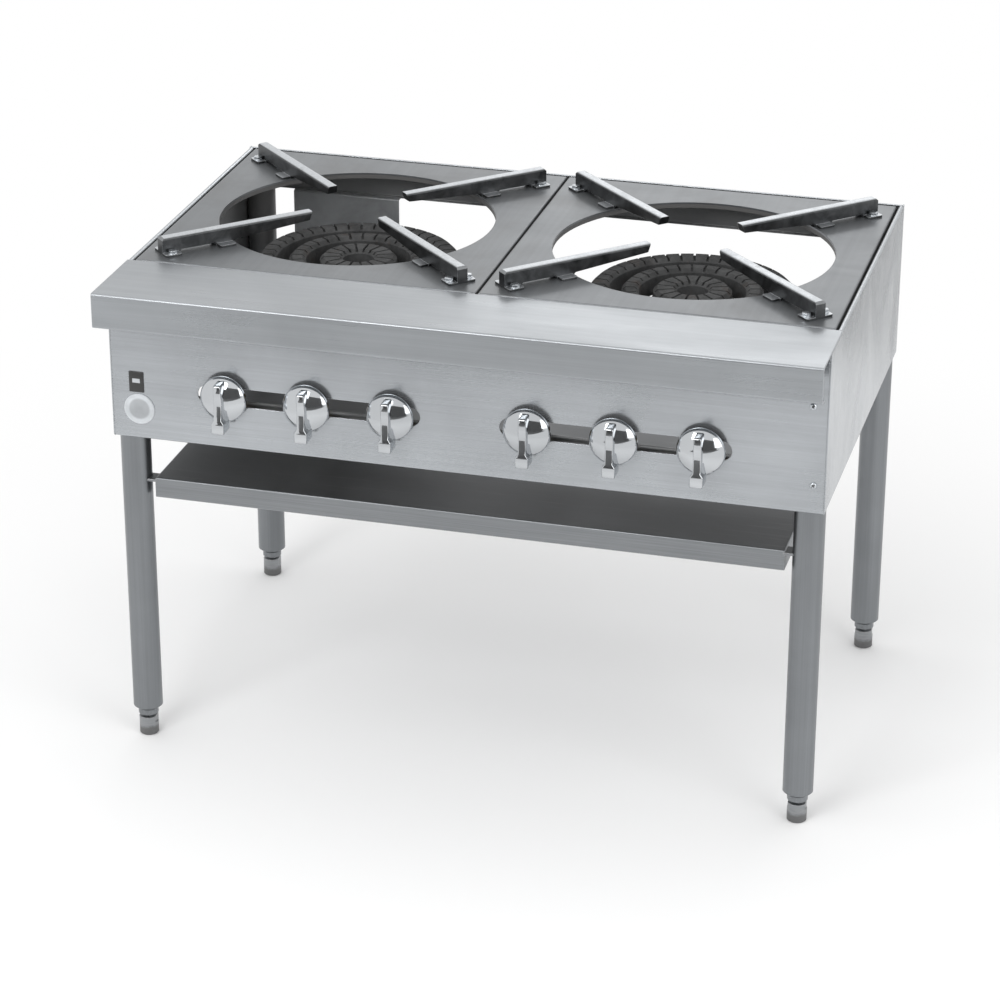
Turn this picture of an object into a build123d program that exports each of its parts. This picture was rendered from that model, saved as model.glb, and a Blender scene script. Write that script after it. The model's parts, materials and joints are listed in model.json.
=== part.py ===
from build123d import *
import os
from math import cos, pi, radians, sin, sqrt

# Two-burner stock pot range on four legs. Millimetres, +Z up, the front faces -Y.
# The origin is on the floor under the middle of the body.

# ---- Driving dimensions: body ------------------------------------------------
WIDTH = 900.0             # outside the side panels
DEPTH = 590.0             # front fascia to rear apron
HOB_HEIGHT = 636.0        # floor to the hob's surface
BODY_HEIGHT = 208.0       # hob surface to the body's bottom edge
LEDGE_DEPTH = 125.0       # flat ledge in front of the hob plates
FASCIA_HEIGHT = 45.0      # ledge surface to the fascia's bottom edge
PANEL_RECESS = 52.0       # control panel behind the fascia
APRON_HEIGHT = 54.0       # shallow rear apron, the rear is open below it
SHEET = 1.5               # body sheet
FOLD_RADIUS = 2.0         # bend radius of the sheet, on its centre line
HEM = 10.0                # stiffening returns of the body panels
TOP_RETURN = 6.0          # strip of the side panels and apron that shows beside the plates
SEAT_WIDTH = 16.0         # ledge that a hob plate rests on
LEDGE_DROP = 40.0         # ledge's rear flange
PANEL_GAP = 0.3           # between neighbouring body sheets
CUT = 1.0                 # how far a cut runs past the face that it opens

# ---- Driving dimensions: hob plates and pan arms -----------------------------
PLATE_GAP = 3.0           # visible gap round each hob plate
PLATE_SHEET = 2.0
PLATE_FLANGE = 20.0       # turned-down edge of a hob plate
PLATE_FOLD = 2.0          # outer radius of that edge
HOLE_MARGIN = 41.75       # hole's rim from the nearest edge of its plate
HOLE_LIP = 8.0            # turned-down rim of the hole
HOLE_FORWARD = 4.0        # hole centre in front of the plate's middle
ARM_WIDTH = 14.0
ARM_HEIGHT = 22.0         # arm top above the hob's surface
ARM_WALL = 3.0
ARM_INNER_RADIUS = 68.0   # arm tip from the hole's centre
ARM_CORNER_GAP = 33.0     # arm's outer end from the plate's corner, along the diagonal
ARM_TIP_DEPTH = 11.0      # depth of the arm at its tip
ARM_TIP_SLOPE = 4.0       # how far the tip leans back
ARM_TAB_LENGTH = 22.0     # feet of the arm on the plate
ARM_TAB_WIDTH = 12.0      # each foot flange, out from the arm's side
ARM_RELIEF = 4.0          # underside of the arm above the plate between its feet
ARM_ANGLES = {"front_right": -45.0, "rear_right": 45.0, "rear_left": 135.0, "front_left": -135.0}
BOLT_RADIUS = 3.0
BOLT_CLEARANCE = 0.3
BOLT_HEAD_FLATS = 10.0
BOLT_HEAD_HEIGHT = 4.0
BOLT_LENGTH = 12.0

# ---- Driving dimensions: legs, feet, undershelf ------------------------------
LEG_RADIUS = 19.05
LEG_WALL = 1.5
LEG_FIT = 0.1             # between a leg and the sheets that it is welded to
LEG_TOP_GAP = 2.5         # leg's top below the plate seats
LEG_BOTTOM = 37.0         # floor to the tube's end
LEG_TAPER = 5.0           # height of the tapered nose
LEG_NECK_RADIUS = 13.0
LEG_NECK_LENGTH = 7.0
LEG_PLUG = 30.0           # solid threaded plug in the tube's end
FOOT_RADIUS = 12.5
FOOT_HEIGHT = 26.0
FOOT_CHAMFER = 1.5
FOOT_FLATS = 9.0          # height of the two spanner flats
STEM_RADIUS = 6.0
STEM_LENGTH = 50.0
STEM_CHAMFER = 1.0
STEM_CLEARANCE = 0.06
SHELF_DROP = 58.0         # undershelf's top below the body
SHELF_FLANGE = 26.0
SHELF_LEG_GAP = 8.0       # shelf's end from the leg tubes
SHELF_OVERHANG = 8.6      # shelf's front and rear edges past the leg centres
LUG_WIDTH = 20.0
LUG_THICKNESS = 3.0

# ---- Driving dimensions: taps, knobs and gas pipes ---------------------------
TAP_COUNT = 3             # taps of one burner, one for each ring
TAP_PITCH = 107.0
TAP_GROUP_INWARD = 28.25  # middle tap of a group from its hole's centre, towards the range's middle
TAP_DROP = 139.0          # tap axes below the hob's surface
TAP_BEHIND_PANEL = 32.0   # rail and tap inlet behind the control panel's face
TAP_RADIUS = 11.0
TAP_FRONT_LENGTH = 30.0   # tap barrel in front of its inlet
TAP_REAR_LENGTH = 22.0    # and behind it
TAP_GLAND_RADIUS = 9.0
TAP_GLAND_LENGTH = 8.0
TAP_NECK_FLATS = 18.0     # hexagon that is screwed into the rail's boss
TAP_NECK_LENGTH = 5.0
SPINDLE_RADIUS = 4.0
SPINDLE_CLEARANCE = 0.05
SPINDLE_DEPTH = 24.0      # spindle inside the tap
SPINDLE_END_GAP = 1.0
SLOT_HEIGHT = 24.0
SLOT_MARGIN = 36.0        # slot's end past the axis of an outer tap
KNOB_RADIUS = 30.0
KNOB_GAP = 7.0            # between the skirt and the control panel
KNOB_RIM = 3.0
KNOB_DOME = 12.0
KNOB_SHOULDER = 6.0       # rounding between the rim and the dome
KNOB_WALL = 2.5
KNOB_BOSS_RADIUS = 8.0
LEVER_WIDTH = 10.0
LEVER_RISE = 11.0         # lever above the dome's top
LEVER_UP = 26.0           # lever's upper end from the axis
LEVER_DOWN = 38.0         # lever's tip from the axis
LEVER_TIP_WIDTH = 16.0
LEVER_TIP_LENGTH = 14.0
LEVER_ROUND = 2.0
RAIL_RADIUS = 13.45
RAIL_WALL = 2.6
RAIL_BOSS_RADIUS = 11.0
RAIL_BOSS_RISE = 2.5
RAIL_BRACKET_WIDTH = 20.0
RAIL_BRACKET_SHEET = 3.0
RAIL_BRACKET_FOOT = 22.0  # height of the bracket's foot on the panel
RAIL_END = 40.0           # rail past the axis of its last tap
RAIL_CAP_LENGTH = 12.0
PIPE_BEND = 20.0
PIPE_SIDE = 56.0          # supply pipe from the range's left side
GOVERNOR_SIDE = 139.0     # middle of the governor from the range's left side
GOVERNOR_REAR = 55.0      # governor's axis in front of the rear
GOVERNOR_LENGTH = 116.0
GOVERNOR_BODY_RADIUS = 20.0
GOVERNOR_DISH_RADIUS = 44.0
GOVERNOR_DISH_HEIGHT = 46.0
GOVERNOR_RIM = 6.0        # clamped rim of the diaphragm: out, and high
GOVERNOR_BONNET_RADIUS = 14.0
GOVERNOR_BONNET_HEIGHT = 26.0
GOVERNOR_BRACKET_WIDTH = 150.0
INLET_SIDE = 240.0        # gas inlet from the range's left side
INLET_REAR = 6.0          # inlet's end in front of the rear
INLET_THREAD_RADIUS = 13.2
INLET_THREAD_LENGTH = 20.0

# ---- Driving dimensions: burners ---------------------------------------------
BURNER_DROP = 52.0        # ring tops below the hob's surface
RING_HEIGHT = 28.0
RING_CROWN = 5.0          # bevelled crown that the ports are cut in
RING_RADII = {"outer": (107.0, 131.0), "middle": (68.0, 90.0), "inner": (20.0, 50.0)}
PORT_PITCH = 20.0         # from port to port round a ring's outer edge
PORT_WIDTH = 3.0
PORT_DEPTH = 4.0
MIXER_RADIUS = 15.0
MIXER_BORE = 11.0
MIXER_BEND = 25.0
MOUTH_RADIUS = 19.0
MOUTH_LENGTH = 18.0
MOUTH_BORE_DEPTH = 60.0
MOUTH_GAP = 20.0          # mixing tube's mouth behind the tap's end
INJECTOR_FLATS = 11.0
INJECTOR_LENGTH = 16.0
INJECTOR_NOSE_RADIUS = 3.5
INJECTOR_SHOULDER = 0.5   # step from the hexagon's flats to the nose
INJECTOR_NOSE_LENGTH = 10.0
BURNER_RAIL_BEHIND = 60.0  # burner rail behind the control panel
BURNER_RAIL_HEIGHT = 30.0
CRADLE_BAR = 6.0
CRADLE_DEPTH = 20.0
CRADLE_BARS = (-40.0, 56.0)  # bars of the left cradle from its burner's middle
CRADLE_REACH = 116.0      # bars past the burner's middle
CRADLE_TIES = (-50.0, 50.0)
CRADLE_TIE_WIDTH = 12.0
CRADLE_TIE_SHEET = 3.0
CENTRE_RAIL_WIDTH = 30.0
CENTRE_RAIL_HEIGHT = 25.0

# ---- Places worked out from the dimensions -----------------------------------
HALF_WIDTH = WIDTH / 2
FRONT = -DEPTH / 2
REAR = DEPTH / 2
BODY_BOTTOM = HOB_HEIGHT - BODY_HEIGHT
PANEL_FACE = FRONT + PANEL_RECESS
LEDGE_REAR = FRONT + LEDGE_DEPTH
SEAT_Z = HOB_HEIGHT - PLATE_FLANGE
SEAT_SIDE_X = HALF_WIDTH - TOP_RETURN - SEAT_WIDTH
LEG_X = HALF_WIDTH - SHEET - LEG_FIT - LEG_RADIUS
LEG_FRONT_Y = PANEL_FACE + SHEET + LEG_FIT + LEG_RADIUS
LEG_REAR_Y = REAR - SHEET - LEG_FIT - LEG_RADIUS
LEG_TOP = SEAT_Z - SHEET - LEG_TOP_GAP
SHELF_TOP = BODY_BOTTOM - SHELF_DROP
LEGS = {"front_left": (-1, LEG_FRONT_Y), "front_right": (1, LEG_FRONT_Y),
        "rear_left": (-1, LEG_REAR_Y), "rear_right": (1, LEG_REAR_Y)}
PLATE_INNER_X = PLATE_GAP / 2
PLATE_OUTER_X = HALF_WIDTH - TOP_RETURN - PLATE_GAP
PLATE_FRONT_Y = LEDGE_REAR + PLATE_GAP
PLATE_REAR_Y = REAR - TOP_RETURN - PLATE_GAP
HOLE_X = (PLATE_INNER_X + PLATE_OUTER_X) / 2
HOLE_Y = (PLATE_FRONT_Y + PLATE_REAR_Y) / 2 - HOLE_FORWARD
NEAREST_EDGE = min(PLATE_OUTER_X - HOLE_X, HOLE_Y - PLATE_FRONT_Y)
HOLE_RADIUS = NEAREST_EDGE - HOLE_MARGIN
ARM_OUTER_RADIUS = sqrt(2) * NEAREST_EDGE - ARM_CORNER_GAP
RING_TOP = HOB_HEIGHT - BURNER_DROP
RING_BOTTOM = RING_TOP - RING_HEIGHT
TAP_GROUP_X = HOLE_X - TAP_GROUP_INWARD
TAP_Y = PANEL_FACE + TAP_BEHIND_PANEL
TAP_Z = HOB_HEIGHT - TAP_DROP
TAP_REAR_Y = TAP_Y + TAP_REAR_LENGTH
MOUTH_Y = TAP_REAR_Y + MOUTH_GAP
RAIL_TOP = TAP_Z - TAP_RADIUS - TAP_NECK_LENGTH
RAIL_Z = RAIL_TOP - RAIL_BOSS_RISE - RAIL_RADIUS
KNOB_BACK_Y = PANEL_FACE - KNOB_GAP
KNOB_FRONT_Y = KNOB_BACK_Y - KNOB_RIM - KNOB_DOME
BURNER_RAIL_Y = PANEL_FACE + BURNER_RAIL_BEHIND
GOVERNOR_X = GOVERNOR_SIDE - HALF_WIDTH
GOVERNOR_Y = REAR - GOVERNOR_REAR
INLET_X = INLET_SIDE - HALF_WIDTH
LEFT = -1
RIGHT = 1


def tap_x(number):
    """X of taps 1 to 6, counted from the left."""
    side = LEFT if number <= TAP_COUNT else RIGHT
    place = (number - 1) % TAP_COUNT - (TAP_COUNT - 1) / 2
    return side * TAP_GROUP_X + place * TAP_PITCH


def folded_across(path, half_length):
    """Folded sheet across the width. The section's centre line is a path of (Y, Z) points."""
    line = FilletPolyline(*path, radius=FOLD_RADIUS)
    plane = Plane(origin=(-half_length, 0, 0), x_dir=(0, 1, 0), z_dir=(1, 0, 0))
    return extrude(plane * trace(line, SHEET), amount=2 * half_length)


def folded_deep(path, front, rear):
    """Folded sheet from front to rear. The section's centre line is a path of (X, Z) points."""
    line = FilletPolyline(*path, radius=FOLD_RADIUS)
    plane = Plane(origin=(0, rear, 0), x_dir=(1, 0, 0), z_dir=(0, -1, 0))
    return extrude(plane * trace(line, SHEET), amount=rear - front)


def block(x0, x1, y0, y1, z0, z1):
    """A box between two corners."""
    return Pos((x0 + x1) / 2, (y0 + y1) / 2, (z0 + z1) / 2) * Box(x1 - x0, y1 - y0, z1 - z0)


def rod(start, end, radius):
    """A cylinder between two points."""
    axis = Vector(*end) - Vector(*start)
    return extrude(Plane(origin=start, z_dir=axis) * Circle(radius), amount=axis.length)


def cone(start, end, start_radius, end_radius):
    """A round taper between two points."""
    axis = Vector(*end) - Vector(*start)
    here = Plane(origin=start, z_dir=axis)
    return loft([here * Circle(start_radius), here.offset(axis.length) * Circle(end_radius)])


# ---- Body panels --------------------------------------------------------------
def front_ledge():
    """Ledge with its fascia, hem and rear flange. The ends of the overhang are open."""
    half = SHEET / 2
    fascia_y = FRONT + half
    rear_y = LEDGE_REAR - half
    hem_z = HOB_HEIGHT - FASCIA_HEIGHT + half
    top_z = HOB_HEIGHT - half
    hem = [(fascia_y + HEM, hem_z), (fascia_y, hem_z)]
    shape = folded_across(hem + [(fascia_y, top_z), (rear_y, top_z)], HALF_WIDTH)
    drop = [(rear_y - HEM, top_z), (rear_y, top_z), (rear_y, HOB_HEIGHT - LEDGE_DROP)]
    return shape + folded_across(drop, SEAT_SIDE_X - PANEL_GAP)


def control_panel():
    """Recessed panel with two long slots for the taps, a bottom return and a top flange."""
    half = SHEET / 2
    face_y = PANEL_FACE + half
    low_z = BODY_BOTTOM + half
    top_z = HOB_HEIGHT - SHEET - PANEL_GAP - half
    outline = [(face_y + HEM, low_z), (face_y, low_z), (face_y, top_z), (face_y + HEM, top_z)]
    shape = folded_across(outline, HALF_WIDTH - SHEET - PANEL_GAP)
    slot_length = (TAP_COUNT - 1) * TAP_PITCH + 2 * SLOT_MARGIN
    for side in (LEFT, RIGHT):
        place = Plane(origin=(side * TAP_GROUP_X, PANEL_FACE, TAP_Z), x_dir=(1, 0, 0), z_dir=(0, 1, 0))
        shape -= extrude(place * SlotOverall(slot_length, SLOT_HEIGHT), amount=SHEET)
    return shape - leg_reliefs()


def side_panel(side):
    """Side panel with a bottom return and, beside the plates, a top return that drops to the plate seat."""
    half = SHEET / 2
    wall_x = HALF_WIDTH - half
    top_z = HOB_HEIGHT - half
    seat_z = SEAT_Z - half
    drop_x = HALF_WIDTH - TOP_RETURN + half
    seat_front = LEDGE_REAR + PANEL_GAP
    seat_rear = REAR - TOP_RETURN - PANEL_GAP
    hem = [(wall_x - HEM, BODY_BOTTOM + half), (wall_x, BODY_BOTTOM + half)]
    seat = [(wall_x, top_z), (drop_x, top_z), (drop_x, seat_z), (drop_x - SEAT_WIDTH, seat_z)]
    shape = folded_deep(hem + [(wall_x, HOB_HEIGHT - SHEET - PANEL_GAP)], PANEL_FACE, REAR)
    shape += folded_deep(hem + seat, seat_front, seat_rear)
    shape += block(HALF_WIDTH - SHEET, HALF_WIDTH, seat_rear, REAR, BODY_BOTTOM + HEM, HOB_HEIGHT)
    return_rear = PANEL_FACE + SHEET + HEM
    shape -= block(0, HALF_WIDTH - SHEET, PANEL_FACE, return_rear, BODY_BOTTOM, HOB_HEIGHT)
    shape -= leg_reliefs()
    return shape if side == RIGHT else mirror(shape, Plane.YZ)


def rear_apron():
    """Shallow apron between the side panels; the body is open below it."""
    half = SHEET / 2
    wall_y = REAR - half
    fold_y = REAR - TOP_RETURN + half
    low_z = HOB_HEIGHT - APRON_HEIGHT + half
    top_z = HOB_HEIGHT - half
    outline = [(fold_y, low_z), (wall_y, low_z), (wall_y, top_z), (fold_y, top_z)]
    return folded_across(outline, HALF_WIDTH - SHEET - PANEL_GAP) - leg_reliefs()


def centre_rail():
    """Channel under the seam that carries the inner edges of both plates."""
    half = SHEET / 2
    edge_x = CENTRE_RAIL_WIDTH / 2 - half
    low_z = SEAT_Z - CENTRE_RAIL_HEIGHT
    top_z = SEAT_Z - half
    outline = [(-edge_x, low_z), (-edge_x, top_z), (edge_x, top_z), (edge_x, low_z)]
    return folded_deep(outline, LEDGE_REAR, REAR - SHEET)


def burner_rail():
    """Angle between the side panels, behind the taps, that carries both burner cradles."""
    half = SHEET / 2
    web_y = BURNER_RAIL_Y - half
    top_z = RING_BOTTOM - half
    outline = [(web_y, RING_BOTTOM - BURNER_RAIL_HEIGHT), (web_y, top_z), (web_y - HEM, top_z)]
    return folded_across(outline, HALF_WIDTH - SHEET - PANEL_GAP)


# ---- Legs, feet and undershelf --------------------------------------------------
def leg_places():
    """The four leg centres."""
    return [(side * LEG_X, y) for side, y in LEGS.values()]


def leg_reliefs():
    """Room for the legs in the returns of the body panels."""
    radius = LEG_RADIUS + LEG_FIT
    return [rod((x, y, 0), (x, y, SEAT_Z - SHEET), radius) for x, y in leg_places()]


def leg(side, y):
    """Round tube with a tapered nose, a threaded plug inside and the neck that the foot screws into."""
    neck_end = LEG_BOTTOM - LEG_NECK_LENGTH
    bore = STEM_RADIUS + STEM_CLEARANCE
    inner = LEG_RADIUS - LEG_WALL
    outline = Polyline((bore, neck_end), (LEG_NECK_RADIUS, neck_end), (LEG_NECK_RADIUS, LEG_BOTTOM),
                       (LEG_RADIUS, LEG_BOTTOM + LEG_TAPER), (LEG_RADIUS, LEG_TOP), (inner, LEG_TOP),
                       (inner, LEG_BOTTOM + LEG_PLUG), (bore, LEG_BOTTOM + LEG_PLUG), close=True)
    tube = revolve(Plane.XZ * make_face(outline), Axis.Z)
    return Pos(side * LEG_X, y, 0) * tube


def foot(side, y):
    """Screw-in levelling foot: stem, round body with two spanner flats, bevelled base."""
    stem_top = FOOT_HEIGHT + STEM_LENGTH
    outline = Polyline((0, 0), (FOOT_RADIUS - FOOT_CHAMFER, 0), (FOOT_RADIUS, FOOT_CHAMFER),
                       (FOOT_RADIUS, FOOT_HEIGHT), (STEM_RADIUS, FOOT_HEIGHT),
                       (STEM_RADIUS, stem_top - STEM_CHAMFER), (STEM_RADIUS - STEM_CHAMFER, stem_top),
                       (0, stem_top), close=True)
    body = revolve(Plane.XZ * make_face(outline), Axis.Z)
    flat_x = FOOT_RADIUS - FOOT_CHAMFER
    flat_low = FOOT_HEIGHT - FOOT_FLATS
    cut = block(flat_x, FOOT_RADIUS + CUT, -FOOT_RADIUS, FOOT_RADIUS, flat_low, FOOT_HEIGHT + CUT)
    for turn in (0, 180):
        body -= Rot(0, 0, turn) * cut
    return Pos(side * LEG_X, y, 0) * body


def undershelf():
    """Tray with turned-down edges, fixed to the legs by a lug at each corner."""
    shelf_x = LEG_X - LEG_RADIUS - SHELF_LEG_GAP
    front = LEG_FRONT_Y - SHELF_OVERHANG
    rear = LEG_REAR_Y + SHELF_OVERHANG
    low = SHELF_TOP - SHELF_FLANGE
    tray = block(-shelf_x, shelf_x, front, rear, low, SHELF_TOP)
    tray = fillet(tray.faces().sort_by(Axis.Z)[-1].edges(), FOLD_RADIUS)
    inside = block(-shelf_x + SHEET, shelf_x - SHEET, front + SHEET, rear - SHEET,
                   low - CUT, SHELF_TOP - SHEET)
    shape = tray - inside
    for x, y in leg_places():
        side = RIGHT if x > 0 else LEFT
        reach = sorted((side * (shelf_x - FOLD_RADIUS), x))
        high = SHELF_TOP - FOLD_RADIUS
        lug = block(*reach, y - LUG_WIDTH / 2, y + LUG_WIDTH / 2, high - LUG_THICKNESS, high)
        post = rod((x, y, low), (x, y, SHELF_TOP), LEG_RADIUS + LEG_FIT)
        outer_half = block(*sorted((x, x + side * LEG_RADIUS)), y - LUG_WIDTH, y + LUG_WIDTH, low, SHELF_TOP)
        shape += lug - post - outer_half
    return shape


# ---- Hob plates and pan arms ---------------------------------------------------
def bolt_offsets():
    """Bolt places of one arm in its own frame: along the arm, and across it."""
    along = ARM_OUTER_RADIUS - ARM_INNER_RADIUS - ARM_TAB_LENGTH / 2
    across = ARM_WIDTH / 2 + ARM_TAB_WIDTH / 2
    return [(along, across), (along, -across)]


def arm_frame(side, angle):
    """Frame of an arm: origin at its tip on the hob's surface, local x outwards along the arm."""
    x = side * HOLE_X + ARM_INNER_RADIUS * cos(radians(angle))
    y = HOLE_Y + ARM_INNER_RADIUS * sin(radians(angle))
    return Pos(x, y, HOB_HEIGHT) * Rot(0, 0, angle)


def hob_plate(side):
    """Pressed plate: turned-down edges that rest on the seats, and a round hole with a turned-down lip."""
    shape = block(PLATE_INNER_X, PLATE_OUTER_X, PLATE_FRONT_Y, PLATE_REAR_Y, SEAT_Z, HOB_HEIGHT)
    shape = fillet(shape.faces().sort_by(Axis.Z)[-1].edges(), PLATE_FOLD)
    shape -= block(PLATE_INNER_X + PLATE_SHEET, PLATE_OUTER_X - PLATE_SHEET, PLATE_FRONT_Y + PLATE_SHEET,
                   PLATE_REAR_Y - PLATE_SHEET, SEAT_Z - CUT, HOB_HEIGHT - PLATE_SHEET)
    lip_z = HOB_HEIGHT - HOLE_LIP
    shape += rod((HOLE_X, HOLE_Y, lip_z), (HOLE_X, HOLE_Y, HOB_HEIGHT), HOLE_RADIUS + PLATE_SHEET)
    shape -= rod((HOLE_X, HOLE_Y, SEAT_Z), (HOLE_X, HOLE_Y, HOB_HEIGHT + CUT), HOLE_RADIUS)
    hole = rod((0, 0, -PLATE_SHEET - CUT), (0, 0, CUT), BOLT_RADIUS + BOLT_CLEARANCE)
    for angle in ARM_ANGLES.values():
        for along, across in bolt_offsets():
            shape -= arm_frame(RIGHT, angle) * Pos(along, across, 0) * hole
    return shape if side == RIGHT else mirror(shape, Plane.YZ)


def pan_arm(side, angle):
    """Folded channel: deep over the plate, tapered to a closed tip over the hole, on two pairs of feet."""
    length = ARM_OUTER_RADIUS - ARM_INNER_RADIUS
    edge = HOLE_RADIUS - ARM_INNER_RADIUS + ARM_WALL
    near_end = edge + ARM_TAB_LENGTH
    far_start = length - ARM_TAB_LENGTH
    tip_low = ARM_HEIGHT - ARM_TIP_DEPTH
    outline = Polyline((0, ARM_HEIGHT), (ARM_TIP_SLOPE, tip_low), (edge - ARM_RELIEF, ARM_RELIEF), (edge, 0),
                       (near_end, 0), (near_end + ARM_RELIEF, ARM_RELIEF),
                       (far_start - ARM_RELIEF, ARM_RELIEF), (far_start, 0), (length, 0),
                       (length, ARM_HEIGHT - ARM_WALL), (length - ARM_WALL, ARM_HEIGHT), close=True)
    profile = Plane.XZ * make_face(outline)
    shape = extrude(profile, amount=ARM_WIDTH / 2, both=True)
    ridge = [e for e in shape.edges().filter_by(Axis.X) if e.center().Z > ARM_HEIGHT - ARM_WALL]
    shape = fillet(ridge, ARM_WALL)
    slot_half = ARM_WIDTH / 2 - ARM_WALL
    shape -= block(ARM_TIP_SLOPE + ARM_WALL, length - ARM_WALL, -slot_half, slot_half,
                   -CUT, ARM_HEIGHT - ARM_WALL)
    tab_half = ARM_WIDTH / 2 + ARM_TAB_WIDTH
    for start in (edge, far_start):
        tab = Rectangle(ARM_TAB_LENGTH, 2 * tab_half)
        tab = fillet(tab.vertices(), ARM_WALL)
        tab -= Rectangle(ARM_TAB_LENGTH + CUT, 2 * slot_half)
        shape += Pos(start + ARM_TAB_LENGTH / 2, 0, 0) * extrude(tab, amount=ARM_WALL)
    for along, across in bolt_offsets():
        shape -= rod((along, across, -CUT), (along, across, ARM_WALL + CUT), BOLT_RADIUS + BOLT_CLEARANCE)
    return arm_frame(side, angle) * shape


def arm_bolts(side):
    """Hexagon bolts that hold the four arms of one plate."""
    head = extrude(RegularPolygon(BOLT_HEAD_FLATS / 2, 6, major_radius=False), amount=BOLT_HEAD_HEIGHT)
    shank = rod((0, 0, -BOLT_LENGTH), (0, 0, 0), BOLT_RADIUS)
    bolt = Pos(0, 0, ARM_WALL) * (head + shank)
    return [arm_frame(side, angle) * Pos(along, across, 0) * bolt
            for angle in ARM_ANGLES.values() for along, across in bolt_offsets()]


# ---- Burners --------------------------------------------------------------------
def mixer_route(name):
    """Centre line of a mixing tube of the left burner, from its mouth up into its ring."""
    middle = sum(RING_RADII[name]) / 2
    number = {"outer": 1, "inner": 2, "middle": 3}[name]
    x = tap_x(number)
    offset = x + HOLE_X
    start = [(x, MOUTH_Y, TAP_Z)]
    if abs(offset) < middle:
        y = HOLE_Y - sqrt(middle ** 2 - offset ** 2)
        return start + [(x, y, TAP_Z), (x, y, RING_BOTTOM)]
    ring_x = -HOLE_X + middle
    return start + [(x, HOLE_Y, TAP_Z), (ring_x, HOLE_Y, TAP_Z), (ring_x, HOLE_Y, RING_BOTTOM)]


def burner_ring(side, name):
    """Cast ring with a bevelled crown of radial ports, and its mixing tube with a belled mouth."""
    inner, outer = RING_RADII[name]
    ports = round(2 * pi * outer / PORT_PITCH)
    crown_low = RING_TOP - RING_CROWN
    outline = Polyline((inner, RING_BOTTOM), (outer, RING_BOTTOM), (outer, crown_low),
                       (outer - RING_CROWN, RING_TOP), (inner + RING_CROWN, RING_TOP),
                       (inner, crown_low), close=True)
    ring = Pos(-HOLE_X, HOLE_Y, 0) * revolve(Plane.XZ * make_face(outline), Axis.Z)
    route = mixer_route(name)
    path = FilletPolyline(*route, radius=MIXER_BEND)
    mouth = Plane(origin=route[0], z_dir=(0, 1, 0))
    tube = sweep(mouth * Circle(MIXER_RADIUS), path=path)
    x, y, z = route[0]
    bell = cone(route[0], (x, y + MOUTH_LENGTH, z), MOUTH_RADIUS, MIXER_RADIUS)
    bore = rod((x, y - CUT, z), (x, y + MOUTH_BORE_DEPTH, z), MIXER_BORE)
    shape = ring + tube + bell - bore
    port_low = RING_TOP - PORT_DEPTH
    port = block(inner - CUT, outer + CUT, -PORT_WIDTH / 2, PORT_WIDTH / 2, port_low, RING_TOP + CUT)
    for turn in range(ports):
        shape -= Pos(-HOLE_X, HOLE_Y, 0) * Rot(0, 0, 360 * turn / ports) * port
    return shape if side == LEFT else mirror(shape, Plane.YZ)


def burner_cradle(side):
    """Two bars on edge under the rings, joined by flat ties and carried by the burner rail."""
    low = RING_BOTTOM - CRADLE_DEPTH
    rear = HOLE_Y + CRADLE_REACH
    left_bar, right_bar = [offset - HOLE_X for offset in CRADLE_BARS]
    half = CRADLE_BAR / 2
    shape = block(left_bar - half, left_bar + half, BURNER_RAIL_Y, rear, low, RING_BOTTOM)
    shape += block(right_bar - half, right_bar + half, BURNER_RAIL_Y, rear, low, RING_BOTTOM)
    for offset in CRADLE_TIES:
        y = HOLE_Y + offset
        shape += block(left_bar, right_bar, y - CRADLE_TIE_WIDTH / 2, y + CRADLE_TIE_WIDTH / 2,
                       RING_BOTTOM - CRADLE_TIE_SHEET, RING_BOTTOM)
    return shape if side == LEFT else mirror(shape, Plane.YZ)


def injectors():
    """Brass injectors on the tap ends, each pointing into the mouth of a mixing tube."""
    made = []
    for number in range(1, 2 * TAP_COUNT + 1):
        place = Plane(origin=(tap_x(number), TAP_REAR_Y, TAP_Z), z_dir=(0, 1, 0))
        hexagon = RegularPolygon(INJECTOR_FLATS / 2, 6, major_radius=False)
        body = extrude(place * hexagon, amount=INJECTOR_LENGTH)
        nose_start = place.offset(INJECTOR_LENGTH)
        nose = loft([nose_start * Circle(INJECTOR_FLATS / 2 - INJECTOR_SHOULDER),
                     nose_start.offset(INJECTOR_NOSE_LENGTH) * Circle(INJECTOR_NOSE_RADIUS)])
        made.append(body + nose)
    return made


# ---- Taps and knobs ---------------------------------------------------------------
def gas_tap(number):
    """Tap barrel with a front gland, an inlet neck down to the rail and a bore for the spindle."""
    x = tap_x(number)
    barrel_front = TAP_Y - TAP_FRONT_LENGTH
    gland_front = barrel_front - TAP_GLAND_LENGTH
    barrel = rod((x, barrel_front, TAP_Z), (x, TAP_REAR_Y, TAP_Z), TAP_RADIUS)
    gland = rod((x, gland_front, TAP_Z), (x, barrel_front, TAP_Z), TAP_GLAND_RADIUS)
    hexagon = RegularPolygon(TAP_NECK_FLATS / 2, 6, major_radius=False)
    neck = Pos(x, TAP_Y, RAIL_TOP) * extrude(hexagon, amount=TAP_Z - RAIL_TOP)
    bore_end = gland_front + SPINDLE_DEPTH + SPINDLE_END_GAP
    bore = rod((x, gland_front - CUT, TAP_Z), (x, bore_end, TAP_Z), SPINDLE_RADIUS + SPINDLE_CLEARANCE)
    return barrel + gland + neck - bore


def tap_spindle(number):
    """Spindle from inside the tap to inside the knob's boss."""
    x = tap_x(number)
    gland_front = TAP_Y - TAP_FRONT_LENGTH - TAP_GLAND_LENGTH
    tip = KNOB_FRONT_Y + KNOB_WALL + SPINDLE_CLEARANCE
    return rod((x, tip, TAP_Z), (x, gland_front + SPINDLE_DEPTH, TAP_Z), SPINDLE_RADIUS)


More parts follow.
